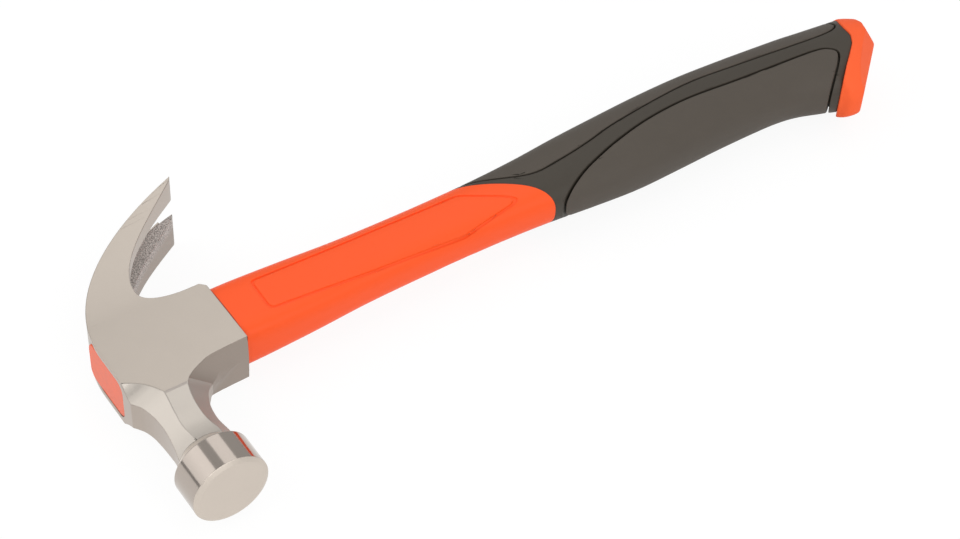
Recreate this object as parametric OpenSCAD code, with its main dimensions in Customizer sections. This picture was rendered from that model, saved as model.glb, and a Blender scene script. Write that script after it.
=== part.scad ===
// Curved-claw hammer with a sleeved fibreglass handle, lying on its side.
// X runs along the handle to the butt, Y to the claw and Z up out of the cheek.

/* [Head] */
// Height of the head, from the skirt's lower edge to the crown
crown_h = 46.4; // [44:0.1:52]
// Thickness over the two flat cheeks
cheek_t = 21; // [19:0.1:24]
// Handle's axis to the skirt's side under the claw
skirt_claw = 14.5; // [13.9:0.1:17]
// Handle's axis to the skirt's side under the poll
skirt_poll = 17.2; // [16.5:0.1:20]
// Length of the eye, along Y
eye_l = 25; // [22:0.1:26]
// Width of the eye, along Z
eye_w = 17.4; // [15:0.1:18]
// Radius of the eye's corners
eye_corner = 4; // [2:0.1:6]

/* [Poll and face] */
// Height of the poll's axis above the skirt's lower edge
poll_axis_h = 33.7; // [32:0.1:36]
// Handle's axis to the striking face
face_reach = 63.9; // [60:0.1:75]
// Diameter of the poll
face_d = 28; // [26:0.1:32]
// Length of the poll's cylinder
poll_l = 12.7; // [8:0.1:15]
// Height of the bevel behind the poll
poll_bevel = 4; // [2:0.1:5]
// Width of the chamfer round the face
face_chamfer_w = 1.7; // [0.5:0.1:3]
// Depth of the chamfer round the face
face_chamfer_d = 1; // [0.4:0.1:2]
// Distance across the flats at the neck's waist
neck_w = 17.4; // [15:0.1:20]

/* [Claw] */
// Handle's axis to the claw's tips
claw_reach = 61.2; // [55:0.1:75]
// Drop of the tips below the skirt's lower edge
claw_drop = 12.3; // [5:0.1:20]
// Width over the two tips
claw_w = 34; // [30:0.1:42]
// Height of the hollow under the claw above the skirt's lower edge
hollow_h = 22.6; // [20:0.1:25]
// Handle's axis to the top of the hollow
hollow_y = 22; // [19:0.1:26]
// Width of the nail slot at the tips
slot_mouth = 7.2; // [6:0.1:10]
// Width of the nail slot at its root
slot_root_w = 0.8; // [0.4:0.1:3]
// Angle of the slot's walls at the tips, in degrees: the slot opens towards the handle
slot_angle = 30; // [0:1:40]

/* [Handle] */
// Length of the handle from the skirt to the butt
handle_l = 298; // [270:1:330]
// Height of the grip at the palm, along Y
grip_h = 34; // [31:0.1:38]
// Thickness of the grip at the palm, along Z
grip_t = 25.8; // [24:0.1:30]
// Length of the rod along Y
core_l = 17; // [12:0.1:18]
// Width of the rod along Z
core_w = 11; // [8:0.1:12]
// Radius of the rod's corners
core_corner = 3.5; // [1:0.1:3.9]
// Depth of the rod's top end below the crown
core_top = 6; // [3:0.1:12]
// Clearance between the rod and what is moulded on it
core_clearance = 0.05; // [0.02:0.01:0.2]

/* [Grip] */
// Thickness of the soft pads
pad_t = 2.4; // [1.5:0.1:2.8]
// Width of the groove round each pad
groove_w = 1; // [0.6:0.1:1.6]
// Width of the line that frames the sleeve's side panel
panel_line_w = 0.9; // [0.5:0.1:1.5]
// Depth of that line
panel_line_d = 0.5; // [0.3:0.1:1]
// How far the cap stands out past the grip
cap_lip = 0.8; // [0.3:0.1:1.2]
// Width of the chamfer round the butt, along X
cap_chamfer = 5; // [2:0.1:6]
// Depth of the chamfer round the butt, along Z
cap_chamfer_z = 7.5; // [3:0.1:9]
// Width of the ridge along the middle of the domed butt
cap_ridge = 2; // [1:0.1:6]

/* [Hidden] */
$fn = 96;
overrun = cheek_t;

// Centre of the base of the box round the whole hammer
head_top = max(crown_h, poll_axis_h + face_d / 2);
origin_x = (handle_l - head_top) / 2;
origin_y = (claw_reach - face_reach) / 2;
origin_z = -max(claw_w, grip_t, face_d) / 2;

// Steps along each curved edge
edge_steps = 20;

function bezier(p, t) = p[0] * pow(1 - t, 3) + p[1] * 3 * t * pow(1 - t, 2)
    + p[2] * 3 * t * t * (1 - t) + p[3] * pow(t, 3);
function bezier_line(p, steps) = [for (i = [0 : steps]) bezier(p, i / steps)];

// A smooth line through every point of a list
function spline_point(a, b, c, d, t) = b + (c - a) * t / 2
    + (2 * a - 5 * b + 4 * c - d) * t * t / 2 + (3 * b - a - 3 * c + d) * pow(t, 3) / 2;
function spline(p, steps) = [
    for (i = [0 : len(p) - 2], j = [0 : steps - 1])
        spline_point(p[max(i - 1, 0)], p[i], p[i + 1], p[min(i + 2, len(p) - 1)], j / steps),
    p[len(p) - 1]];

// The same line moved sideways
function along(p, i) = p[min(i + 1, len(p) - 1)] - p[max(i - 1, 0)];
function beside(p, gap) = [for (i = [0 : len(p) - 1]) let (v = along(p, i))
    p[i] + [-v[1], v[0]] * gap / norm(v)];

// Shares of a length in X and a height in Y, as places in the side view
function side_points(shares, l, h, start = [0, 0]) = [for (s = shares)
    start + [s[0] * l, s[1] * h]];

module place() {
    translate([-origin_x, -origin_y, -origin_z])
        children();
}

module rounded_box(l, w, r) {
    square([l - 2 * r, w], center = true);
    square([l, w - 2 * r], center = true);
    for (sx = [-1, 1], sy = [-1, 1])
        translate([sx * (l / 2 - r), sy * (w / 2 - r)])
            circle(r);
}

// A prism whose flat shape lies in Y and Z and which runs along X
module along_x(from, to) {
    translate([from, 0, 0])
        rotate([90, 0, 90])
            linear_extrude(to - from)
                children();
}

// A solid through a row of rings that have equally many points
module loft(rings) {
    sides = len(rings[0]);
    last = len(rings) - 1;
    walls = [for (i = [0 : last - 1], j = [0 : sides - 1])
        let (k = (j + 1) % sides, a = i * sides, b = a + sides)
        each [[a + j, b + k, a + k], [a + j, b + j, b + k]]];
    start_face = [for (j = [0 : sides - 1]) j];
    end_face = [for (j = [sides - 1 : -1 : 0]) last * sides + j];
    polyhedron([for (r = rings) each r], concat([start_face], walls, [end_face]),
        convexity = 4);
}

// The claw's edges in the side view, as shares of its height and its reach: along the
// outside from the crown to the tips, back along the inside, and down to the skirt
outer_shares = [[0, 0.036], [0, 0.583], [0.585, 0.864], [1, 1]];
inner_shares = [[0.975, 0.962], [0.504, 0.65], [0, 0.357], [0, 0]];
root_shares = [[0, 1], [0, 0.23], [0.425, 0], [0.735, 0]];
outer_shape = side_points(outer_shares, crown_h + claw_drop, claw_reach, [-crown_h, 0]);
inner_shape = side_points(inner_shares, hollow_h + claw_drop, claw_reach - hollow_y,
    [-hollow_h, hollow_y]);
root_shape = side_points(root_shares, hollow_h, hollow_y - skirt_claw,
    [-hollow_h, skirt_claw]);
// Bevel at the skirt's lower edge
skirt_round = 2;

module body_outline() {
    polygon(concat(
        [[0, -skirt_poll], [-crown_h, -skirt_poll]],
        bezier_line(outer_shape, edge_steps),
        bezier_line(inner_shape, edge_steps),
        bezier_line(root_shape, edge_steps / 2),
        [[-skirt_round, skirt_claw], [0, skirt_claw - skirt_round]]));
}

// The head's outline, seen from the crown: the claws flare and the skirt's corners are round
flare_start = skirt_claw;
flare_l = claw_reach - flare_start;
flare_h = (claw_w - cheek_t) / 2;
flare_r = (flare_l * flare_l + flare_h * flare_h) / (2 * flare_h);
corner_flat_share = 0.24;
corner_edge_share = 0.13;
corner_flat = corner_flat_share * cheek_t;
corner_edge = corner_edge_share * skirt_poll;
corner_h = cheek_t / 2 - corner_flat;
corner_r = (corner_edge * corner_edge + corner_h * corner_h) / (2 * corner_edge);

module plan_outline() {
    difference() {
        translate([-skirt_poll + corner_r, -claw_w / 2])
            square([claw_reach + skirt_poll - corner_r, claw_w]);
        for (side = [-1, 1]) {
            translate([flare_start, side * (cheek_t / 2 + flare_r)])
                circle(flare_r, $fn = 360);
            translate([flare_start - overrun - skirt_poll, side * (cheek_t + overrun) / 2])
                square([2 * (overrun + skirt_poll), overrun], center = true);
        }
    }
    intersection() {
        union() {
            translate([-skirt_poll, -corner_flat])
                square([skirt_poll, 2 * corner_flat]);
            for (side = [-1, 1])
                translate([-skirt_poll + corner_r, side * corner_flat])
                    circle(corner_r);
        }
        square([4 * skirt_poll, cheek_t], center = true);
    }
}

// The octagonal neck: each pair of facets is a scoop. The first two shares are of
// face_reach and place the waist and the scoops' poll ends. The others are of neck_w.
waist_y_share = 0.53;
slant_end_share = 0.626;
crown_scoop_share = 1.954;
slant_scoop_share = 1.075;
slant_gap_share = 0.563;
side_scoop_share = 6;
side_waist_share = 0.512;
low_waist_share = 0.701;
low_slant_waist_share = 0.583;
low_slant_share = 0.69;
low_fillet_share = 0.6;
end_scoop_share = 0.57;
// Clearance between the low scoops and the skirt
scoop_clearance = 0.3;
waist_y = waist_y_share * face_reach;
waist_d = neck_w / 2;
crown_scoop_r = crown_scoop_share * neck_w;
slant_scoop_r = slant_scoop_share * neck_w;
slant_y = skirt_poll + slant_gap_share * neck_w;
slant_end_y = slant_end_share * face_reach;
side_scoop_r = side_scoop_share * neck_w;
side_waist = side_waist_share * neck_w;
low_waist = low_waist_share * neck_w;
low_slant_waist = low_slant_waist_share * neck_w;
low_slant_r = low_slant_share * neck_w;
low_slant_y = skirt_poll + low_slant_r + scoop_clearance;
low_fillet = low_fillet_share * neck_w;
bevel_y = face_reach - face_chamfer_d - poll_l - poll_bevel;
neck_end = bevel_y + poll_bevel / 2;
end_scoop_r = end_scoop_share * neck_w;

module neck_outline() {
    difference() {
        translate([-crown_h, -neck_end])
            square([crown_h - poll_axis_h + low_waist + low_fillet, neck_end]);
        translate([-poll_axis_h - waist_d - crown_scoop_r, -waist_y])
            circle(crown_scoop_r, $fn = 180);
        translate([-poll_axis_h + low_waist + low_fillet, -skirt_poll - low_fillet])
            circle(low_fillet);
        translate([-poll_axis_h + low_waist, -neck_end - skirt_poll - low_fillet])
            square([2 * low_fillet, neck_end]);
    }
}

module neck_plan() {
    difference() {
        translate([-neck_end, -cheek_t / 2])
            square([neck_end, cheek_t]);
        for (side = [-1, 1])
            translate([-slant_end_y, side * (side_waist + side_scoop_r)])
                circle(side_scoop_r, $fn = 360);
    }
}

// The flat shape that one slanted facet cuts away, with its height above the poll's axis
module slant_shape(waist, y, r) {
    translate([-y, waist + r])
        circle(r);
    translate([-slant_end_y, waist])
        square([slant_end_y - y, 2 * r]);
    translate([-slant_end_y, waist + end_scoop_r])
        circle(end_scoop_r);
    translate([-slant_end_y - end_scoop_r, waist + end_scoop_r])
        square([slant_end_y - y, 2 * r]);
}

// turn tilts the facet from straight up: below zero to the crown, above zero to the skirt
module slant_scoop(turn, waist, y, r) {
    translate([-poll_axis_h, 0, 0])
        rotate([0, turn, 0])
            rotate([90, 0, 90])
                linear_extrude(4 * cheek_t, center = true)
                    slant_shape(waist, y, r);
}

module neck() {
    intersection() {
        translate([0, 0, -cheek_t / 2])
            linear_extrude(cheek_t)
                neck_outline();
        along_x(-crown_h - overrun, overrun)
            neck_plan();
    }
}

module poll() {
    face_r = face_d / 2;
    translate([-poll_axis_h, 0, 0])
        rotate([90, 0, 0]) {
            translate([0, 0, bevel_y])
                cylinder(poll_bevel, face_r - poll_bevel, face_r);
            translate([0, 0, bevel_y + poll_bevel])
                cylinder(poll_l, r = face_r);
            translate([0, 0, face_reach - face_chamfer_d])
                cylinder(face_chamfer_d, face_r, face_r - face_chamfer_w);
        }
}

// The nail slot runs down the claw's middle from past the tips to its root. Each section
// across the claw is a wedge, which is narrow on the outer side. u is 0 at the tips.
slot_steps = 8;
slot_share = 0.76;
step_share = 0.1;
slot_over = cheek_t / 4;

function claw_outer(u) = bezier(outer_shape, 1 - slot_share * u);
function claw_inner(u) = bezier(inner_shape, u);
function claw_middle(u) = (claw_outer(u) + claw_inner(u)) / 2;
function claw_along(u) = let (v = claw_middle(u + step_share) - claw_middle(u))
    v / norm(v);
function slot_ring(u, back = 0) =
    let (v = claw_along(u), out = [v[1], -v[0]], middle = claw_middle(u) - v * back,
        half = norm(claw_outer(u) - claw_inner(u)) / 2,
        w = (slot_mouth * (1 - u) + slot_root_w * u) / 2,
        wide = w + (2 * half + slot_over) * tan(slot_angle) * (1 - u * u))
    [for (p = [[wide, -half - slot_over], [w, half], [w, half + slot_over],
            [-w, half + slot_over], [-w, half], [-wide, -half - slot_over]])
        [middle[0] + out[0] * p[1], middle[1] + out[1] * p[1], p[0]]];

module slot_cut() {
    loft(concat([slot_ring(0, slot_over)],
        [for (i = [0 : slot_steps]) slot_ring(i / slot_steps)]));
}

module head() {
    color([0.78, 0.75, 0.7])
        place() {
            difference() {
                union() {
                    intersection() {
                        translate([0, 0, -claw_w / 2])
                            linear_extrude(claw_w)
                                body_outline();
                        along_x(-crown_h - overrun, claw_drop + overrun)
                            plan_outline();
                    }
                    neck();
                }
                for (side = [0, 1])
                    mirror([0, 0, side]) {
                        slant_scoop(-45, waist_d, slant_y, slant_scoop_r);
                        slant_scoop(45, low_slant_waist, low_slant_y, low_slant_r);
                    }
                along_x(-crown_h - overrun, overrun)
                    rounded_box(eye_l, eye_w, eye_corner);
                slot_cut();
            }
            poll();
        }
}

module core_outline(gap) {
    rounded_box(core_l + 2 * gap, core_w + 2 * gap, core_corner + gap);
}

// Ends of the rod along X
core_end_share = 0.9;
core_start = -crown_h + core_top;
core_end = core_end_share * handle_l;

module eye_resin() {
    color([1, 0.42, 0.3])
        place()
            difference() {
                along_x(-crown_h, 0)
                    rounded_box(eye_l, eye_w, eye_corner);
                along_x(core_start, overrun)
                    core_outline(0);
            }
}

module fibreglass_core() {
    color([0.86, 0.84, 0.7])
        place()
            along_x(core_start, core_end)
                core_outline(0);
}

// The handle's sections, as shares: place along handle_l, back edge and belly edge of
// grip_h, half thickness of grip_t, and how square the section is
section_shares = [
    [0, 0.406, -0.418, 0.388, 4],
    [0.033, 0.412, -0.42, 0.38, 3.8],
    [0.1, 0.4, -0.408, 0.361, 3.4],
    [0.168, 0.377, -0.379, 0.345, 3.1],
    [0.235, 0.366, -0.367, 0.341, 3],
    [0.302, 0.365, -0.363, 0.341, 3],
    [0.369, 0.374, -0.368, 0.36, 2.9],
    [0.436, 0.414, -0.4, 0.395, 2.6],
    [0.503, 0.473, -0.455, 0.446, 2.4],
    [0.57, 0.51, -0.486, 0.481, 2.4],
    [0.638, 0.543, -0.466, 0.496, 2.4],
    [0.705, 0.552, -0.44, 0.5, 2.4],
    [0.772, 0.529, -0.435, 0.492, 2.4],
    [0.81, 0.51, -0.45, 0.488, 2.4],
    [0.839, 0.495, -0.5, 0.488, 2.4],
    [0.872, 0.48, -0.607, 0.488, 2.4],
    [0.906, 0.458, -0.7, 0.49, 2.3],
    [1.01, 0.385, -0.75, 0.49, 2]];
section_sides = 32;

function squarish(c, power) = sign(c) * pow(abs(c), 2 / power);
function section_ring(s, inset) =
    let (middle = (s[1] + s[2]) / 2 * grip_h, half_h = (s[1] - s[2]) / 2 * grip_h - inset,
        half_t = s[3] * grip_t - inset)
    [for (i = [0 : section_sides - 1]) let (a = 360 * (i + 0.5) / section_sides)
        [s[0] * handle_l, middle + half_h * squarish(cos(a), s[4]),
            half_t * squarish(sin(a), s[4])]];

module handle_loft(inset, shares = section_shares) {
    loft([for (s = shares) section_ring(s, inset)]);
}

module side_prism(outline) {
    translate([0, 0, -grip_t])
        linear_extrude(2 * grip_t)
            polygon(outline);
}

// Lines on the handle's side, as shares of handle_l and grip_h
tongue_shares = [[0.302, 0.5], [0.369, 0.176], [0.438, -0.088], [0.449, -0.6]];
back_line_shares = [[0.335, 0.5], [0.352, 0.33], [0.372, 0.235], [0.43, 0], [0.473, -0.009],
    [0.523, 0.041], [0.577, 0.129], [0.691, 0.226], [0.772, 0.188], [0.866, 0.12],
    [0.92, 0.094], [0.942, 0.14], [0.948, 0.25], [0.948, 0.6]];
palm_line_shares = [[0.438, -0.6], [0.447, -0.43], [0.46, -0.37], [0.493, -0.265],
    [0.523, -0.19], [0.559, -0.11], [0.614, -0.02], [0.678, 0.02], [0.755, -0.01],
    [0.852, -0.038], [0.896, -0.068], [0.909, -0.2], [0.899, -0.324], [0.864, -0.62],
    [0.84, -0.8]];
cap_line_shares = [[0.966, 0.6], [0.962, 0], [0.952, -0.1], [0.905, -0.453], [0.86, -0.8]];

tongue_line = bezier_line(side_points(tongue_shares, handle_l, grip_h), edge_steps);
back_line = spline(side_points(back_line_shares, handle_l, grip_h), 4);
palm_line = spline(side_points(palm_line_shares, handle_l, grip_h), 4);
cap_line = side_points(cap_line_shares, handle_l, grip_h);

module shaft_jacket() {
    color([1, 0.39, 0.24])
        place()
            difference() {
                handle_loft(0);
                side_prism(concat(tongue_line,
                    [[2 * handle_l, -2 * grip_h], [2 * handle_l, grip_h]]));
                along_x(-overrun, handle_l)
                    core_outline(core_clearance);
                panel_line();
            }
}

// The thin line that frames the flat panel on each side of the sleeve
panel_shares = [[0.046, 0.215], [0.044, -0.245], [0.18, -0.3], [0.311, -0.34],
    [0.406, -0.247], [0.335, 0.17], [0.212, 0.2]];

module panel_shape(inset) {
    offset(r = 2 * panel_line_w)
        offset(delta = -2 * panel_line_w - inset)
            polygon(side_points(panel_shares, handle_l, grip_h));
}

module panel_line() {
    difference() {
        translate([0, 0, -grip_t])
            linear_extrude(2 * grip_t)
                difference() {
                    panel_shape(0);
                    panel_shape(panel_line_w);
                }
        handle_loft(panel_line_d);
    }
}

module grip_body() {
    color([0.34, 0.32, 0.29])
        place()
            difference() {
                handle_loft(0);
                side_prism(concat(tongue_line,
                    [[-handle_l, -2 * grip_h], [-handle_l, grip_h]]));
                side_prism(concat(cap_line,
                    [[2 * handle_l, -2 * grip_h], [2 * handle_l, grip_h]]));
                along_x(0, core_end)
                    core_outline(core_clearance);
                difference() {
                    union() {
                        side_prism(beside(back_line, -groove_w / 2));
                        side_prism(beside(palm_line, groove_w / 2));
                    }
                    handle_loft(pad_t);
                }
            }
}

module pad(line, gap) {
    place()
        difference() {
            intersection() {
                handle_loft(0);
                side_prism(beside(line, gap));
            }
            handle_loft(pad_t);
        }
}

module back_pad() {
    color([0.37, 0.35, 0.32])
        pad(back_line, groove_w / 2);
}

module palm_pad() {
    color([0.37, 0.35, 0.32])
        pad(palm_line, -groove_w / 2);
}

// The cap's own sections, laid out like the handle's
cap_shares = [
    [0.85, 0.47, -0.59, 0.5, 2.4],
    [0.879, 0.46, -0.66, 0.51, 2.4],
    [0.896, 0.455, -0.8, 0.515, 2.4],
    [0.955, 0.437, -0.82, 0.515, 2.3],
    [0.985, 0.345, -0.82, 0.505, 2],
    [1.01, 0.25, -0.82, 0.49, 2]];
// Outlines of the butt in the side view: on the ridge, and where the chamfers start
ridge_shares = [[0.84, 0.6], [0.955, 0.6], [0.967, 0.42], [0.987, 0.33], [0.998, 0.17],
    [1, -0.03], [0.904, -0.8], [0.886, -0.84], [0.82, -0.84]];
butt_shares = [[0.84, 0.6], [0.95, 0.6], [0.96, 0.42], [0.981, 0.32], [0.99, 0.19],
    [0.991, 0.02], [0.983, -0.2], [0.905, -0.8], [0.886, -0.84], [0.82, -0.84]];

module butt_cap() {
    butt = side_points(butt_shares, handle_l, grip_h);
    color([1, 0.43, 0.28])
        place()
            difference() {
                intersection() {
                    handle_loft(0, cap_shares);
                    hull() {
                        translate([0, 0, -cap_ridge / 2])
                            linear_extrude(cap_ridge)
                                polygon(side_points(ridge_shares, handle_l, grip_h));
                        translate([0, 0, cap_chamfer_z - grip_t / 2])
                            linear_extrude(grip_t - 2 * cap_chamfer_z)
                                polygon(butt);
                        translate([0, 0, -grip_t / 2 - cap_lip])
                            linear_extrude(grip_t + 2 * cap_lip)
                                offset(delta = -cap_chamfer)
                                    polygon(butt);
                    }
                }
                side_prism(concat(cap_line,
                    [[-handle_l, -2 * grip_h], [-handle_l, grip_h]]));
            }
}

head();
eye_resin();
fibreglass_core();
shaft_jacket();
grip_body();
back_pad();
palm_pad();
butt_cap();
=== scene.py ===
# Curved-claw hammer on its side: detailed pieces, materials, lights and camera
import math

import bmesh
import bpy
from mathutils import Matrix, Vector
from mathutils.geometry import interpolate_bezier


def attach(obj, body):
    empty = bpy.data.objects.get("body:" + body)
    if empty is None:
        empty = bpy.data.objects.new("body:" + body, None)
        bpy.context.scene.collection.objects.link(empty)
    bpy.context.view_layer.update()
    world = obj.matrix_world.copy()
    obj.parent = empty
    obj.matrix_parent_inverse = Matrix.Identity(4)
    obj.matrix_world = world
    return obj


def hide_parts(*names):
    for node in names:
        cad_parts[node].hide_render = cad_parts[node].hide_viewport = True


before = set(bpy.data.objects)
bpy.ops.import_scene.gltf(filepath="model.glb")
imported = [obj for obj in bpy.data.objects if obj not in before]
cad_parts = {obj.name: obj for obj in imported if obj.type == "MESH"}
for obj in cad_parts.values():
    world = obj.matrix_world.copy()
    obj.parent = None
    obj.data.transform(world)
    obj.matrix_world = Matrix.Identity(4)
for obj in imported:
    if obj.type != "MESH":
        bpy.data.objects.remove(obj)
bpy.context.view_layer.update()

MM = 0.001
TURN = 2 * math.pi
# Where the handle's axis meets the plane of the skirt's end in the frame, in mm
SHIFT = Vector((-125.15, 1.35, 17))
# The angles in degrees past which an edge is rounded, and past which it is shaded sharp
ROUNDED_PAST, SHARP_PAST = 24, 35


# Selecting and shaping
def only(piece):
    if bpy.context.object and bpy.context.object.mode != "OBJECT":
        bpy.ops.object.mode_set(mode="OBJECT")
    bpy.ops.object.select_all(action="DESELECT")
    piece.select_set(True)
    bpy.context.view_layer.objects.active = piece


def edit(piece, kind="VERT", selected="DESELECT"):
    only(piece)
    bpy.ops.object.mode_set(mode="EDIT")
    bpy.ops.mesh.select_mode(type=kind)
    bpy.ops.mesh.select_all(action=selected)


def done(piece):
    """Turns the faces outwards and ends the editing."""
    bpy.ops.mesh.select_all(action="SELECT")
    bpy.ops.mesh.normals_make_consistent(inside=False)
    bpy.ops.object.mode_set(mode="OBJECT")
    return piece


def apply_step(piece, kind, **settings):
    """Adds a modifier with its settings and applies it."""
    step = piece.modifiers.new(kind.lower(), kind)
    for setting, value in settings.items():
        setattr(step, setting, value)
    bpy.ops.object.modifier_apply(modifier=step.name)


def outline_solid(name, points, low, high, lie="XY"):
    """A flat outline in mm, pushed out to a thickness. It lies in X and Y, or in Y and Z."""
    bpy.ops.object.select_all(action="DESELECT")
    bpy.ops.mesh.primitive_circle_add(vertices=len(points), radius=MM, fill_type="NGON")
    piece = bpy.context.object
    piece.name = name
    for v, (a, b) in zip(piece.data.vertices, points):
        v.co = Vector((a, b, low) if lie == "XY" else (low, a, b)) * MM
    push = (0, 0, high - low) if lie == "XY" else (high - low, 0, 0)
    edit(piece, "FACE", "SELECT")
    bpy.ops.mesh.extrude_region_move(
        TRANSFORM_OT_translate={"value": tuple(MM * d for d in push)})
    return done(piece)


def loft(name, rings):
    """A cylinder with one ring of points for each ring given, in mm."""
    sides, last = len(rings[0]), len(rings) - 1
    bpy.ops.object.select_all(action="DESELECT")
    bpy.ops.mesh.primitive_cylinder_add(vertices=sides, radius=1, depth=2)
    piece = bpy.context.object
    piece.name = name
    edit(piece, "EDGE")
    mesh = bmesh.from_edit_mesh(piece.data)
    for e in mesh.edges:
        e.select = abs(e.verts[0].co.z - e.verts[1].co.z) > 1
    bmesh.update_edit_mesh(piece.data)
    if last > 1:
        bpy.ops.mesh.subdivide(number_cuts=last - 1)
    mesh = bmesh.from_edit_mesh(piece.data)
    # A new cylinder's first point is a quarter turn from X
    for v in mesh.verts:
        ring = round((v.co.z + 1) / 2 * last)
        side = round((math.atan2(v.co.y, v.co.x) / TURN - 0.25) * sides) % sides
        v.co = Vector(rings[ring][side]) * MM
    mesh.normal_update()
    bmesh.update_edit_mesh(piece.data)
    return done(piece)


def join(piece, other, how="DIFFERENCE", folded=False):
    """Cuts, keeps or adds the other solid, which is used up. It may be folded into itself."""
    only(piece)
    apply_step(piece, "BOOLEAN", object=other, operation=how, solver="EXACT", use_self=folded)
    bpy.data.objects.remove(other)
    return piece


def twin(piece, name):
    other = piece.copy()
    other.data = piece.data.copy()
    other.name = name
    bpy.context.scene.collection.objects.link(other)
    return other


def clean(piece, near=0.02):
    """Merges points that are nearer than this in mm, and faces that lie in one plane."""
    edit(piece, "VERT", "SELECT")
    bpy.ops.mesh.remove_doubles(threshold=near * MM)
    bpy.ops.mesh.dissolve_limited(angle_limit=math.radians(0.1))
    return done(piece)


def keep_inside(piece, guide):
    """Draws back to the guide's surface whatever stands out of it. The guide is used up."""
    apply_step(piece, "SHRINKWRAP", target=guide, wrap_method="NEAREST_SURFACEPOINT",
               wrap_mode="INSIDE")
    bpy.data.objects.remove(guide)


def shade(piece):
    bpy.ops.object.shade_smooth_by_angle(angle=math.radians(SHARP_PAST))
    apply_step(piece, "WEIGHTED_NORMAL", keep_sharp=True)


def ease(piece, width):
    """Rounds the sharp edges by a width in mm and smooths the shading."""
    guide = twin(piece, "guide")
    only(piece)
    apply_step(piece, "BEVEL", width=width * MM, segments=3, limit_method="ANGLE",
               angle_limit=math.radians(ROUNDED_PAST), use_clamp_overlap=False,
               miter_outer="MITER_ARC")
    keep_inside(piece, guide)
    edit(piece, "VERT", "SELECT")
    bpy.ops.mesh.fill_holes(sides=0)
    done(piece)
    shade(piece)


def melt(piece, voxel, rounds):
    """Rounds a moulded piece all over: an even mesh of a voxel size in mm, then smoothed."""
    guide = twin(piece, "guide")
    only(piece)
    apply_step(piece, "REMESH", mode="VOXEL", voxel_size=voxel * MM, use_smooth_shade=True)
    apply_step(piece, "SMOOTH", factor=0.5, iterations=rounds)
    keep_inside(piece, guide)
    shade(piece)


# Lines
def curve(points, steps):
    """A Bezier edge from four points in mm, as a list of points."""
    corners = [Vector((x, y, 0)) for x, y in points]
    return [(p.x, p.y) for p in
            interpolate_bezier(corners[0], corners[1], corners[2], corners[3], steps)]


def arc(centre, radius, start, end, steps):
    """Points on an arc, with its angles in degrees."""
    angles = [math.radians(start + (end - start) * i / steps) for i in range(steps + 1)]
    return [(centre[0] + radius * math.cos(a), centre[1] + radius * math.sin(a))
            for a in angles]


def through(points, steps):
    """A smooth line through every point of a list. A point has any number of values."""
    line = []
    for i in range(len(points) - 1):
        a, b, c, d = (points[min(max(k, 0), len(points) - 1)] for k in range(i - 1, i + 3))
        for j in range(steps):
            t = j / steps
            line.append(tuple(
                q + (r - p) * t / 2 + (2 * p - 5 * q + 4 * r - s) * t * t / 2
                + (3 * q - p - 3 * r + s) * t ** 3 / 2
                for p, q, r, s in zip(a, b, c, d)))
    return line + [tuple(points[-1])]


def beside(line, gap):
    """The same line moved sideways by a gap."""
    moved = []
    for i, (x, y) in enumerate(line):
        before, after = line[max(i - 1, 0)], line[min(i + 1, len(line) - 1)]
        along = Vector((after[0] - before[0], after[1] - before[1])).normalized()
        moved.append((x - along.y * gap, y + along.x * gap))
    return moved


def rounded_box(length, width, radius):
    """A rounded rectangle's outline about the handle's axis."""
    along, across = length / 2 - radius, width / 2 - radius
    points = []
    for (y, z), start in zip([(1, 1), (-1, 1), (-1, -1), (1, -1)], (0, 90, 180, 270)):
        points += arc((y * along, z * across), radius, start, start + 90, 8)
    return points


def rounded_outline(points, inset, radius, steps=7):
    """A closed outline moved to its left, which is inwards if it runs anticlockwise, with
    round corners."""
    count = len(points)
    result = []
    for i in range(count):
        here = Vector(points[i])
        before = (here - Vector(points[i - 1])).normalized()
        after = (Vector(points[(i + 1) % count]) - here).normalized()
        left, right = Vector((-before.y, before.x)), Vector((-after.y, after.x))
        corner = here + (left + right) / (1 + left.dot(right)) * inset
        bend = before.angle(after)
        if bend < 0.05:
            result.append(tuple(corner))
            continue
        cut = radius * math.tan(bend / 2)
        first, last = corner - before * cut, corner + after * cut
        # This pull towards the corner makes the curve nearly an arc
        pull = min(1, 0.55 + 0.1 * bend)
        result += curve([first, first.lerp(corner, pull), last.lerp(corner, pull), last], steps)
    return result


# The head's sizes in mm: X runs down the handle, Y from the face to the claw, Z out of a cheek
CROWN, CHEEK, SKIRT_POLL, SKIRT_CLAW, SKIRT_CORNER = -46.4, 10.5, -17.2, 14.5, 2
POLL_X, FACE_Y, FACE_R = -33.7, -63.9, 14
# The claw's outer and inner edges and its root at the skirt
OUTER = [(CROWN, 2.2), (CROWN, 35.68), (-12.06, 52.88), (12.3, 61.2)]
INNER = [(11.43, 59.71), (-5.01, 47.48), (-22.6, 35.99), (-22.6, 22)]
ROOT = [(-22.6, 22), (-22.6, 16.23), (-13, SKIRT_CLAW), (-6, SKIRT_CLAW)]
# The cheeks' flare at the claw: its radius and the angle at which it ends
FLARE_R, FLARE_END = 171, -73.4
# The neck in the side view: places along Y and distances from the poll's axis
NECK_CROWN = [(-18.6, 12.7), (-20, 11.6), (-22, 10.36), (-24, 9.64), (-28, 8.76), (-34, 8.39),
              (-40, 8.69), (-44, 9.33), (-50, 10.6)]
NECK_SKIRT = [(SKIRT_POLL, 28), (-18, 22), (-20, 18.8), (-22, 16.3), (-24, 14.2), (-26, 12.7),
              (-28, 11.6), (-32, 10.2), (-37, 9.75), (-42, 10.1), (-50, 10.6)]
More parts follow.
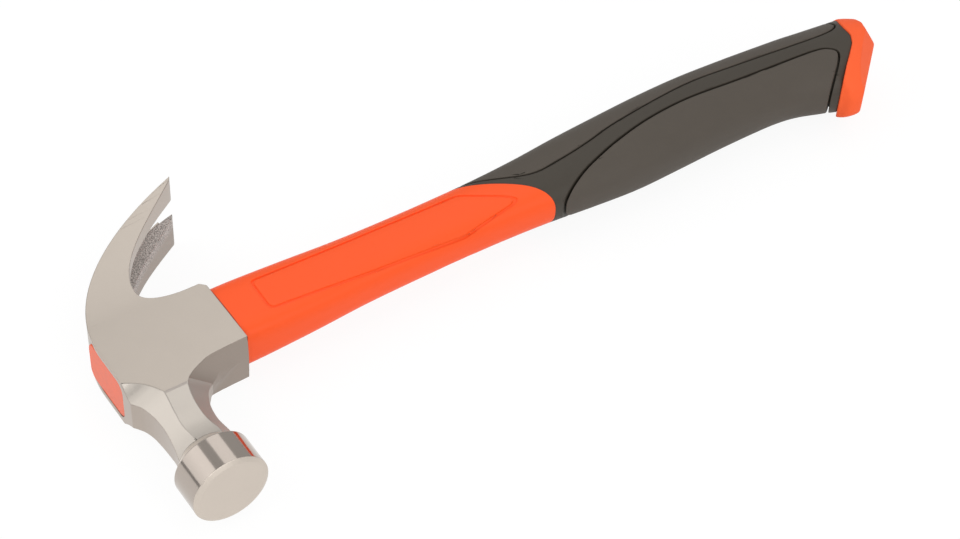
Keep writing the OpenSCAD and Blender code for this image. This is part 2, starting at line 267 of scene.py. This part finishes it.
# The neck's slanted facets at each place along Y: where the upper pair would meet in the
# middle, their edges with the flat side, the flat side's height, and the same below
FACETS = [
    (-51, 14.2, 2.6, 10.5, 5.4, 15.4), (-46, 13, 3.1, 9.65, 6, 14.6),
    (-42, 12.6, 3.4, 9.2, 5.3, 14.2), (-38, 14.05, 3.7, 9, 4.8, 13.5),
    (-34, 15.8, 3.43, 9.3, 4.7, 13.9), (-30, 17.6, 2.95, 9.5, 5, 15.2),
    (-26, 18.9, 2.4, 9.9, 5.7, 17.3), (-22.7, 20.6, 2.2, 10.5, 6.8, 18),
    (-20.3, 22.2, 2.7, 11, 9, 20), (-18.6, 23.6, 2.9, 11.45, 11.7, 23.1),
    (-16.9, 25.4, 3.2, 12, 15.6, 28.5), (-16.2, 26.3, 3.35, 12.27, 20, 39),
    (-15.7, 26.95, 3.47, 12.48, 30, 80), (-15.2, 27.6, 3.6, 12.7, 40, 85),
    (-13.5, 30.2, 4.2, 13.6, 52, 90), (-11.8, 33.2, 5, 14.7, 56, 100)]
# Behind the neck the facets' solid is clear of the head
CLEAR = [(-11, 50, 30, 40, 60, 110), (70, 140, 90, 80, 90, 160)]
# The nail slot's width at the tips and at its end, the share of the claw's outer edge that it
# takes, its walls' lean in degrees, and how far off the middle the photo has it
SLOT_TIP, SLOT_END, SLOT_REACH, SLOT_LEAN, SLOT_Z = 7.2, 0.8, 0.76, 30, 1.9
# How far the slot's wedge stands out of the claw, and past its tips
SLOT_OVER, SLOT_PAST = 2, 5.4
# The poll's back bevel, side and front chamfer: places along Y and radii
POLL = [(-45.2, 9), (-50.2, FACE_R), (-62.9, FACE_R), (FACE_Y, 12.3)]
# The straight eye, the resin in it and the space for the rod: length, width and corner radius
EYE, RESIN, ROD = (25, 17.4, 4), (24.96, 17.36, 3.98), (17.1, 11.1, 3.55)
RESIN_ENDS, ROD_ENDS = (-46.1, -0.05), (-40.45, 268.3)


# The forged head and the resin in its eye
def head_body():
    """The head's side outline, as thick as its cheeks and flared at the claws."""
    crown = [(POLL_X - d, y) for y, d in through(NECK_CROWN, 4)]
    skirt = [(POLL_X + d, y) for y, d in through(NECK_SKIRT, 4)]
    side = [(0, SKIRT_POLL)] + skirt + list(reversed(crown)) + curve(OUTER, 56)
    side += curve(INNER, 48) + curve(ROOT, 20)[1:]
    side += [(-SKIRT_CORNER, SKIRT_CLAW), (0, SKIRT_CLAW - SKIRT_CORNER)]
    # The blanks reach past the head on every side
    half = [(-60, CHEEK)] + arc((SKIRT_CLAW, CHEEK + FLARE_R), FLARE_R, -90, FLARE_END, 40)
    plan = half + [(y, -z) for y, z in reversed(half)]
    body = outline_solid("hammer_head", side, -18, 18)
    return join(body, outline_solid("plan", plan, -60, 20, "YZ"), "INTERSECT")


def facets():
    """All that the neck's slanted and flat sides leave, and all of the head behind them."""
    rings = []
    for y, upper, upper_edge, flat, lower_edge, lower in through(FACETS, 3) + CLEAR:
        ring = [(-upper, 0), (-upper_edge, flat), (lower_edge, flat),
                (lower, 0), (lower_edge, -flat), (-upper_edge, -flat)]
        rings.append([(POLL_X + x, y, z) for x, z in ring])
    return loft("facets", rings)


def nail_slot():
    """A wedge that runs down the claw's middle and opens towards the handle."""
    last = 200
    outer, inner = curve(OUTER, last + 1), curve(INNER, last + 1)

    def across(share):
        """The claw's middle and half its thickness at a share of the way from the tips."""
        o = Vector(outer[round((1 - SLOT_REACH * share) * last)])
        n = Vector(inner[round(share * last)])
        return (o + n) / 2, (o - n).length / 2

    rings = []
    # The first ring is as wide as the one at the tips, and stands past them
    for share, past in [(0, SLOT_PAST)] + [(i / 16, 0) for i in range(17)]:
        middle, half = across(share)
        at = min(share, 0.9)
        along = (across(at + 0.1)[0] - across(at)[0]).normalized()
        middle -= along * past
        out = Vector((along.y, -along.x))
        w = (SLOT_TIP * (1 - share) + SLOT_END * share) / 2
        lean = math.tan(math.radians(SLOT_LEAN)) * (1 - share * share)
        wide = w + (2 * half + SLOT_OVER) * lean
        ring = [(wide, -half - SLOT_OVER), (w, half), (w, half + SLOT_OVER),
                (-w, half + SLOT_OVER), (-w, half), (-wide, -half - SLOT_OVER)]
        rings.append([(middle.x + out.x * h, middle.y + out.y * h, z + SLOT_Z) for z, h in ring])
    return loft("slot", rings)


def poll(sides=128):
    return loft("poll", [[(POLL_X + r * math.cos(TURN * i / sides), y,
                           r * math.sin(TURN * i / sides)) for i in range(sides)]
                         for y, r in POLL])


def bore():
    """The space that the fibreglass rod fills."""
    return outline_solid("bore", rounded_box(*ROD), *ROD_ENDS, "YZ")


head = join(head_body(), facets(), "INTERSECT")
join(head, nail_slot(), folded=True)
join(head, poll(), "UNION")
join(head, outline_solid("eye", rounded_box(*EYE), -50, 4, "YZ"))
clean(head, 0.06)
ease(head, 0.28)

resin = outline_solid("eye_resin_fill", rounded_box(*RESIN), *RESIN_ENDS, "YZ")
join(resin, bore())
clean(resin)
ease(resin, 0.35)

# The handle's length, and its height and thickness at the swell, in mm
LENGTH, HEIGHT, THICK = 298, 34, 25.8
# Its sections, as shares of these: place along it, back and belly edge, half its thickness,
# and how square the section is
SECTIONS = [
    (0, 0.406, -0.418, 0.388, 4), (0.033, 0.412, -0.42, 0.38, 3.8),
    (0.1, 0.4, -0.408, 0.361, 3.4), (0.168, 0.377, -0.379, 0.345, 3.1),
    (0.235, 0.366, -0.367, 0.341, 3), (0.302, 0.365, -0.363, 0.341, 3),
    (0.369, 0.374, -0.368, 0.36, 2.9), (0.436, 0.414, -0.4, 0.395, 2.6),
    (0.503, 0.473, -0.455, 0.446, 2.4), (0.57, 0.51, -0.486, 0.481, 2.4),
    (0.638, 0.543, -0.466, 0.496, 2.4), (0.705, 0.552, -0.44, 0.5, 2.4),
    (0.772, 0.529, -0.435, 0.492, 2.4), (0.81, 0.51, -0.45, 0.488, 2.4),
    (0.839, 0.495, -0.5, 0.488, 2.4), (0.872, 0.48, -0.607, 0.488, 2.4),
    (0.906, 0.458, -0.7, 0.49, 2.3), (1.01, 0.385, -0.75, 0.49, 2)]
CAP_SECTIONS = [
    (0.85, 0.47, -0.59, 0.5, 2.4), (0.879, 0.46, -0.66, 0.51, 2.4),
    (0.896, 0.455, -0.8, 0.515, 2.4), (0.955, 0.437, -0.82, 0.515, 2.3),
    (0.985, 0.345, -0.82, 0.505, 2), (1.01, 0.25, -0.82, 0.49, 2)]


def section_ring(section, inset, sides=64):
    x, back, belly, half, power = section
    middle = (back + belly) / 2 * HEIGHT
    high, wide = (back - belly) / 2 * HEIGHT - inset, half * THICK - inset
    ring = []
    for i in range(sides):
        c, s = math.cos(TURN * (i + 0.5) / sides), math.sin(TURN * (i + 0.5) / sides)
        ring.append((x * LENGTH, middle + high * math.copysign(abs(c) ** (2 / power), c),
                     wide * math.copysign(abs(s) ** (2 / power), s)))
    return ring


def handle(name, inset=0, sections=SECTIONS):
    """The handle's outer form, or one that is thinner all round by an inset in mm."""
    return loft(name, [section_ring(s, inset) for s in through(sections, 8)])


def side_points(shares):
    return [(x * LENGTH, y * HEIGHT) for x, y in shares]


def side_solid(name, points):
    """A side outline pushed out past both sides of the handle."""
    return outline_solid(name, points, -30, 30)


# Corners that close a line round all of the handle on its butt side and on its head side
BUTT_SIDE = [(2 * LENGTH, -70), (2 * LENGTH, 70)]
HEAD_SIDE = [(-LENGTH, -70), (-LENGTH, 70)]
# The sleeve's end, the two groove lines of the grip and the cap's edge, in the side view
TONGUE = curve(side_points([(0.302, 0.5), (0.369, 0.176), (0.438, -0.088), (0.449, -0.6)]), 28)
BACK_LINE = through(side_points([
    (0.335, 0.5), (0.352, 0.33), (0.372, 0.235), (0.43, 0), (0.473, -0.009),
    (0.523, 0.041), (0.577, 0.129), (0.691, 0.226), (0.772, 0.188), (0.866, 0.12),
    (0.92, 0.094), (0.942, 0.14), (0.948, 0.25), (0.948, 0.6)]), 5)
PALM_LINE = through(side_points([
    (0.446, -0.6), (0.4525, -0.43), (0.464, -0.37), (0.494, -0.265), (0.523, -0.19),
    (0.559, -0.11), (0.614, -0.02), (0.678, 0.015), (0.755, -0.025), (0.852, -0.07),
    (0.888, -0.1), (0.902, -0.15), (0.909, -0.245), (0.897, -0.385), (0.864, -0.62),
    (0.84, -0.8)]), 5)
CAP_LINE = side_points([
    (0.972, 0.6), (0.962, 0.296), (0.9534, 0.177), (0.9484, 0.056), (0.945, -0.1),
    (0.9361, -0.22), (0.921, -0.335), (0.903, -0.465), (0.86, -0.8)])
PANEL = side_points([(0.046, 0.215), (0.044, -0.245), (0.18, -0.3), (0.311, -0.34),
                     (0.406, -0.247), (0.335, 0.17), (0.212, 0.2)])
# The panel line's width and depth, and the radii of its outer and inner corners, in mm
PANEL_WIDE, PANEL_DEEP, PANEL_OUTER, PANEL_INNER = 0.9, 0.5, 3, 2.2
# The pads' thickness, and half the width of the grooves round them
PAD, GROOVE = 2.4, 0.4

# The orange sleeve with its framed side panels
sleeve = handle("orange_sleeve")
join(sleeve, side_solid("behind", TONGUE + BUTT_SIDE))
panel_line = side_solid("panel_line", rounded_outline(PANEL, 0, PANEL_OUTER))
join(panel_line, side_solid("inside", rounded_outline(PANEL, PANEL_WIDE, PANEL_INNER)))
join(panel_line, handle("floor", PANEL_DEEP))
join(sleeve, panel_line)
join(sleeve, bore())
clean(sleeve, 0.08)
ease(sleeve, 0.22)

# The dark grip: its frame, the back pad and the palm pad
grip = handle("grip_frame")
join(grip, side_solid("back", beside(BACK_LINE, -GROOVE)))
join(grip, side_solid("palm", beside(PALM_LINE, GROOVE)))
join(grip, handle("under", PAD), "UNION")
join(grip, side_solid("sleeve_side", TONGUE + HEAD_SIDE))
join(grip, side_solid("cap_side", CAP_LINE + BUTT_SIDE))
join(grip, bore())
clean(grip, 0.06)
ease(grip, 0.35)

pads = []
for name, edge_line in (("back_pad_soft", beside(BACK_LINE, GROOVE)),
                        ("palm_pad_soft", beside(PALM_LINE, -GROOVE))):
    pad = handle(name)
    join(pad, side_solid("region", edge_line), "INTERSECT")
    join(pad, handle("under", PAD))
    clean(pad, 0.06)
    ease(pad, 0.5)
    pads.append(pad)

# The butt cap's dome: a ridge in the middle, a rim on each side of it, and a foot further
# out that is set back. The rim runs clockwise, so it is set back by a minus
RIDGE = side_points([(0.84, 0.6), (0.955, 0.6), (0.967, 0.42), (0.987, 0.33), (0.998, 0.17),
                     (1, -0.03), (0.904, -0.8), (0.886, -0.84), (0.82, -0.84)])
RIM = side_points([(0.84, 0.6), (0.95, 0.6), (0.96, 0.42), (0.981, 0.32), (0.99, 0.19),
                   (0.991, 0.02), (0.983, -0.2), (0.905, -0.8), (0.886, -0.84), (0.82, -0.84)])
FOOT = rounded_outline(RIM, -5, 0)
dome = outline_solid("dome", RIDGE, -1, 1)
for edge_line, depth in ((RIM, 5.4), (FOOT, 13.7)):
    join(dome, outline_solid("slab", edge_line, -depth, depth), "UNION")
edit(dome, "VERT", "SELECT")
bpy.ops.mesh.convex_hull()
done(dome)
cap = handle("butt_cap_moulded", 0, CAP_SECTIONS)
join(cap, dome, "INTERSECT")
join(cap, side_solid("grip_side", CAP_LINE + HEAD_SIDE))
melt(cap, 0.5, 6)


# Wiring of materials
def feed(tree, node, feeds):
    """Feeds a node's inputs, each with a value or with another node's output."""
    for socket, value in feeds.items():
        if isinstance(value, bpy.types.NodeSocket):
            tree.links.new(value, node.inputs[socket])
        else:
            node.inputs[socket].default_value = value


def add(tree, kind, feeds, **settings):
    """Adds a node with its settings and feeds it."""
    node = tree.nodes.new("ShaderNode" + kind)
    for setting, value in settings.items():
        setattr(node, setting, value)
    feed(tree, node, feeds)
    return node


def on_piece(tree):
    """The place on the piece, which stays with it wherever it goes."""
    return add(tree, "TexCoord", {}).outputs["Object"]


def lay(material, colour, share):
    """Lays a colour over a finish, by a share that changes from place to place."""
    tree = material.node_tree
    shader = tree.nodes["Principled BSDF"]
    under = shader.inputs["Base Color"].links[0].from_socket
    over = add(tree, "Mix", {"Factor": share, "A": under, "B": list(colour) + [1]},
               data_type="RGBA")
    feed(tree, shader, {"Base Color": over.outputs["Result"]})


# How every finish drifts: the noise's usual range, the spread of its roughness, the broad
# clouds' scale and weight beside the grain, and the relief's height in mm
NOISE_LOW, NOISE_HIGH, ROUGH_SPREAD = 0.3, 0.7, 0.12
CLOUDS, CLOUD_WEIGHT, RELIEF_MM = 90, 0.35, 0.1


def finish(name, colour, roughness, grain, drift, relief, metallic=0, coat=0, gloss=0.5):
    """A finish whose colour, roughness and height drift with a grain of a size in mm."""
    material = bpy.data.materials.new(name)
    material.use_nodes = True
    tree = material.node_tree
    place = on_piece(tree)
    stretch = add(tree, "Mapping", {"Vector": place, "Scale": [1 / (g * MM) for g in grain]})
    fine = add(tree, "TexNoise", {
        "Vector": stretch.outputs["Vector"], "Scale": 1, "Detail": 4}).outputs["Fac"]
    broad = add(tree, "TexNoise", {"Vector": place, "Scale": CLOUDS}).outputs["Fac"]
    both = add(tree, "Math", {0: broad, 1: CLOUD_WEIGHT, 2: fine}, operation="MULTIPLY_ADD")
    tint = add(tree, "Mix", {
        "Factor": both.outputs["Value"],
        "A": [c * (1 - 2 * drift) for c in colour] + [1],
        "B": [c * (1 + drift) for c in colour] + [1]}, data_type="RGBA")
    rough = add(tree, "MapRange", {
        "Value": fine, "From Min": NOISE_LOW, "From Max": NOISE_HIGH,
        "To Min": roughness * (1 - ROUGH_SPREAD), "To Max": roughness * (1 + ROUGH_SPREAD)})
    bump = add(tree, "Bump", {"Height": fine, "Strength": relief, "Distance": RELIEF_MM * MM})
    feed(tree, tree.nodes["Principled BSDF"], {
        "Base Color": tint.outputs["Result"], "Roughness": rough.outputs["Result"],
        "Normal": bump.outputs["Normal"], "Metallic": metallic, "Coat Weight": coat,
        "Specular IOR Level": gloss})
    return material


def shadow(material, colour, axis, full, none, both_sides=False):
    """Paints shade: lays a colour over a finish, from all of it at one place on an axis to none,
    in mm.
    """
    tree = material.node_tree
    split = add(tree, "SeparateXYZ", {"Vector": on_piece(tree)})
    off = add(tree, "Math", {0: split.outputs[axis], 1: SHIFT["XYZ".index(axis)] * MM},
              operation="SUBTRACT").outputs["Value"]
    if both_sides:
        off = add(tree, "Math", {0: off}, operation="ABSOLUTE").outputs["Value"]
    share = add(tree, "MapRange", {"Value": off, "From Min": full * MM, "From Max": none * MM,
                                   "To Min": 1, "To Max": 0})
    lay(material, colour, share.outputs["Result"])


def speckle(material, dark, size):
    """Dark pits of a size in mm."""
    tree = material.node_tree
    pits = add(tree, "TexNoise", {"Vector": on_piece(tree), "Scale": 1 / (size * MM)})
    edge = add(tree, "MapRange", {"Value": pits.outputs["Fac"],
                                  "From Min": 0.42, "From Max": 0.58})
    lay(material, dark, edge.outputs["Result"])


def steel(name, colour, **look):
    return finish(name, colour, metallic=1, **look)


# The steel's finishes, from the satin cheeks to the rough walls of the slot
satin = steel("satin_cheek_steel", (0.525, 0.467, 0.41),
              roughness=0.38, grain=(1.2, 0.16, 0.5), drift=0.04, relief=0.08)
ground = steel("ground_facet_steel", (0.53, 0.485, 0.435),
               roughness=0.34, grain=(0.2, 1.6, 0.4), drift=0.03, relief=0.03)
side = steel("plain_side_steel", (0.46, 0.4, 0.35),
             roughness=0.32, grain=(0.5, 0.5, 0.2), drift=0.06, relief=0.08)
# A darker copy of the side steel: painted shade on the skirt and on the neck's faces towards the
# handle
shaded = steel("painted_shade_skirt_steel", (0.36, 0.305, 0.265),
               roughness=0.48, grain=(0.4, 0.4, 0.2), drift=0.08, relief=0.1)
low_facet = steel("lower_facet_steel", (0.52, 0.47, 0.43),
                  roughness=0.6, grain=(0.3, 0.3, 0.3), drift=0.05, relief=0.06)
# A lighter copy of the steel: a painted highlight on the poll's back bevel
painted_highlight_steel = steel("painted_highlight_bevel_steel", (0.86, 0.78, 0.7),
               roughness=0.5, grain=(0.3, 0.3, 0.3), drift=0.03, relief=0.04)
polished = steel("polished_poll_steel", (0.46, 0.405, 0.36),
                 roughness=0.13, grain=(0.3, 2.5, 0.3), drift=0.03, relief=0.03)
matt_face = steel("matt_face_steel", (0.66, 0.59, 0.52),
                  roughness=0.5, grain=(0.25, 0.25, 0.25), drift=0.05, relief=0.15)
slot_wall = steel("speckled_slot_steel", (0.66, 0.6, 0.56),
                  roughness=0.55, grain=(0.3, 0.3, 0.3), drift=0.08, relief=0.6)
speckle(slot_wall, (0.24, 0.215, 0.2), size=0.32)
# Painted shade: the slot's walls turn darker more than 6.4 mm off the head's middle
shadow(slot_wall, (0.42, 0.37, 0.33), "Z", full=8.8, none=6.4, both_sides=True)

# The plastics, the rubber and the rod
orange = finish("orange_sleeve_plastic", (1, 0.098, 0.012),
                roughness=0.42, grain=(0.4, 0.4, 0.4), drift=0.02, relief=0.12, gloss=0.3)
# Painted shade: a dark band on the sleeve where it meets the head
shadow(orange, (0.25, 0.03, 0.012), "X", full=0.15, none=0.6)
cap_orange = finish("orange_cap_plastic", (1, 0.132, 0.036),
                    roughness=0.62, grain=(0.4, 0.4, 0.4), drift=0.02, relief=0.1, gloss=0.18)
cast = finish("cast_eye_resin", (0.88, 0.12, 0.03),
              roughness=0.24, grain=(3, 3, 3), drift=0.06, relief=0.1, gloss=0.16)
frame_rubber = finish("grip_frame_plastic", (0.056, 0.047, 0.036),
                      roughness=0.5, grain=(0.3, 0.3, 0.3), drift=0.08, relief=0.3, gloss=0.3)
pad_rubber = finish("grip_pad_rubber", (0.084, 0.07, 0.056),
                    roughness=0.62, grain=(0.25, 0.25, 0.25), drift=0.1, relief=0.5, gloss=0.35)
strands = finish("glass_fibre_rod", (0.7, 0.66, 0.42),
                 roughness=0.4, grain=(30, 0.35, 0.35), drift=0.15, relief=0.4, coat=0.3)

# Which steel finish each face of the head has, by its place and the way it faces. A darker copy
# of the steel paints shade on the faces on the handle's side, and a lighter copy paints a
# highlight on the poll's back bevel
STEEL = [side, satin, ground, shaded, low_facet, painted_highlight_steel, polished, matt_face, slot_wall]
# Along Y in mm: where the face, the poll's side and its back bevel end, where the lower and
# the upper facets end, and where the slot begins
FACE_END, SIDE_END, BEVEL_END = -62.7, -50.4, -45.2
LOW_FACET_END, FACET_END, SLOT_START = -22.2, -12, 18
# The back bevel's inner radius, and how far out the facets and the cheeks begin
BEVEL_R, FACET_Z, CHEEK_Z = 10.7, 10.4, 10.3


def steel_of(centre, normal):
    x, y, z = centre / MM
    if y < FACE_END:
        return matt_face
    if y < SIDE_END:
        return polished
    # The poll's back bevel gets the lighter steel, a painted highlight
    if y < BEVEL_END and math.hypot(x - POLL_X, z) > BEVEL_R and abs(normal.y) > 0.4:
        return painted_highlight_steel
    # The upper facets' lower edge slants a little
    upper = x < -26.5 + (y + 22) * 0.1
    if upper and y < FACET_END and abs(z) < FACET_Z and abs(normal.z) > 0.5:
        return ground
    if y < LOW_FACET_END and x > POLL_X:
        return low_facet
    # The slot's wall that faces up, and the side of the lower claw that faces the handle
    wall = z < 3 and normal.z > 0.2 or z < -3 and normal.x > 0.1
    if wall and y > SLOT_START and x > -46:
        return slot_wall
    if abs(z) > CHEEK_Z and abs(normal.z) > 0.8:
        return satin
    # Painted shade: the faces on the handle's side of the poll's half get the darker steel
    return shaded if y < 0 and x > POLL_X and normal.x > -0.5 else side


def finished(piece, node, materials):
    """Moves a piece to its place, gives it its materials, hides the part that it replaces and
    hangs it on the root.
    """
    piece.data.materials.clear()
    for material in materials:
        piece.data.materials.append(material)
    if len(materials) > 1:
        for face in piece.data.polygons:
            face.material_index = materials.index(steel_of(face.center, face.normal))
    piece.data.transform(Matrix.Translation(SHIFT * MM))
    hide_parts(node)
    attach(piece, "root")


finished(head, "head", STEEL)
finished(resin, "eye_resin", [cast])
finished(sleeve, "shaft_jacket", [orange])
finished(grip, "grip_body", [frame_rubber])
finished(pads[0], "back_pad", [pad_rubber])
finished(pads[1], "palm_pad", [pad_rubber])
finished(cap, "butt_cap", [cap_orange])
for rod_slot in bpy.data.objects["fibreglass_core"].material_slots:
    rod_slot.material = strands

# The camera, at the photograph's viewing angle
lens = bpy.data.cameras.new("camera")
lens.sensor_width, lens.lens, lens.clip_start = 36, 82.5, 0.01
camera = bpy.data.objects.new("camera", lens)
bpy.context.scene.collection.objects.link(camera)
camera.matrix_world = Matrix((
    (0.82611, 0.37812, -0.41782, -0.36399),
    (-0.56177, 0.61095, -0.55781, -0.46253),
    (0.04435, 0.69553, 0.71713, 0.58338),
    (0, 0, 0, 1)))
bpy.context.scene.camera = camera

# The paper's grey under the lamps, its own glow, and how much of the glow is seen
PAPER, PAPER_GLOW, GLOW_SHARE = 0.85, 1.035, 0.88
# The sky's light low down and high up, where it stops growing, and its lean to the right
SKY_LOW, SKY_HIGH, SKY_TOP, SKY_LEAN = 0.36, 0.56, 0.4, 0.3
# An area lamp's watts per square metre for a radiance of 1
LAMP_POWER = 4 / 1.62
# What the lamps face
HEAD_PLACE = Vector((-0.15, -0.02, 0.02))


# The floor, the lamps and the world
def seen_rays(tree):
    """1 for the rays that show the background: those of the camera, of gloss and of glass."""
    rays = add(tree, "LightPath", {})
    total = rays.outputs["Is Camera Ray"]
    for name in ("Is Glossy Ray", "Is Transmission Ray"):
        total = add(tree, "Math", {0: total, 1: rays.outputs[name]}, operation="ADD",
                    use_clamp=True).outputs["Value"]
    return total


def white_paper():
    """Paper that is seen white and keeps the shadow."""
    paper = bpy.data.materials.new("white_paper")
    paper.use_nodes = True
    tree = paper.node_tree
    matt = tree.nodes["Principled BSDF"]
    feed(tree, matt, {"Base Color": (PAPER, PAPER, PAPER, 1), "Roughness": 0.9})
    glow = add(tree, "Emission", {"Strength": PAPER_GLOW})
    share = add(tree, "Math", {0: seen_rays(tree), 1: GLOW_SHARE}, operation="MULTIPLY")
    blend = add(tree, "MixShader", {"Fac": share.outputs["Value"], 1: matt.outputs["BSDF"],
                                    2: glow.outputs["Emission"]})
    feed(tree, tree.nodes["Material Output"], {"Surface": blend.outputs["Shader"]})
    return paper


def softbox(name, way, distance, size, radiance):
    """An even lamp that faces the head from a direction, long along Y."""
    data = bpy.data.lights.new(name, "AREA")
    data.shape, data.size, data.size_y = "RECTANGLE", size[0], size[1]
    data.energy = radiance * LAMP_POWER * size[0] * size[1]
    piece = bpy.data.objects.new(name, data)
    bpy.context.scene.collection.objects.link(piece)
    piece.location = HEAD_PLACE + Vector(way) * distance
    back = Vector(way).normalized()
    across = Vector((0, 1, 0)).cross(back).normalized()
    up = back.cross(across)
    piece.rotation_euler = Matrix((across, up, back)).transposed().to_euler()
    piece.visible_camera = False


def studio_sky():
    """A plain grey sky, a little lighter up and to the right, which the camera sees white."""
    world = bpy.data.worlds.new("studio")
    world.use_nodes = True
    tree = world.node_tree
    way = add(tree, "TexCoord", {}).outputs["Generated"]
    split = add(tree, "SeparateXYZ", {"Vector": way})
    lean = add(tree, "Math", {0: split.outputs["X"], 1: SKY_LEAN, 2: split.outputs["Z"]},
               operation="MULTIPLY_ADD")
    level = add(tree, "MapRange", {"Value": lean.outputs["Value"], "From Min": 0,
                                   "From Max": SKY_TOP, "To Min": SKY_LOW, "To Max": SKY_HIGH})
    rays = add(tree, "LightPath", {})
    white = add(tree, "Math", {0: level.outputs["Result"], 1: rays.outputs["Is Camera Ray"]},
                operation="MAXIMUM")
    feed(tree, tree.nodes["Background"], {"Color": white.outputs["Value"]})
    return world


bpy.ops.object.select_all(action="DESELECT")
bpy.ops.mesh.primitive_plane_add(size=12)
floor = bpy.context.object
floor.name = "studio_floor"
floor.data.materials.append(white_paper())

softbox("left_softbox", (-0.652, 0.32, 0.51), distance=1.5, size=(1.25, 1.75), radiance=1.2)
softbox("right_softbox", (0.337, 0.22, 0.756), distance=1.5, size=(0.76, 1.5), radiance=1.02)
softbox("front_softbox", (-0.1, -0.8, 0.55), distance=2, size=(2.4, 1.6), radiance=1.9)
bpy.context.scene.world = studio_sky()
bpy.context.scene.view_settings.view_transform = "Standard"
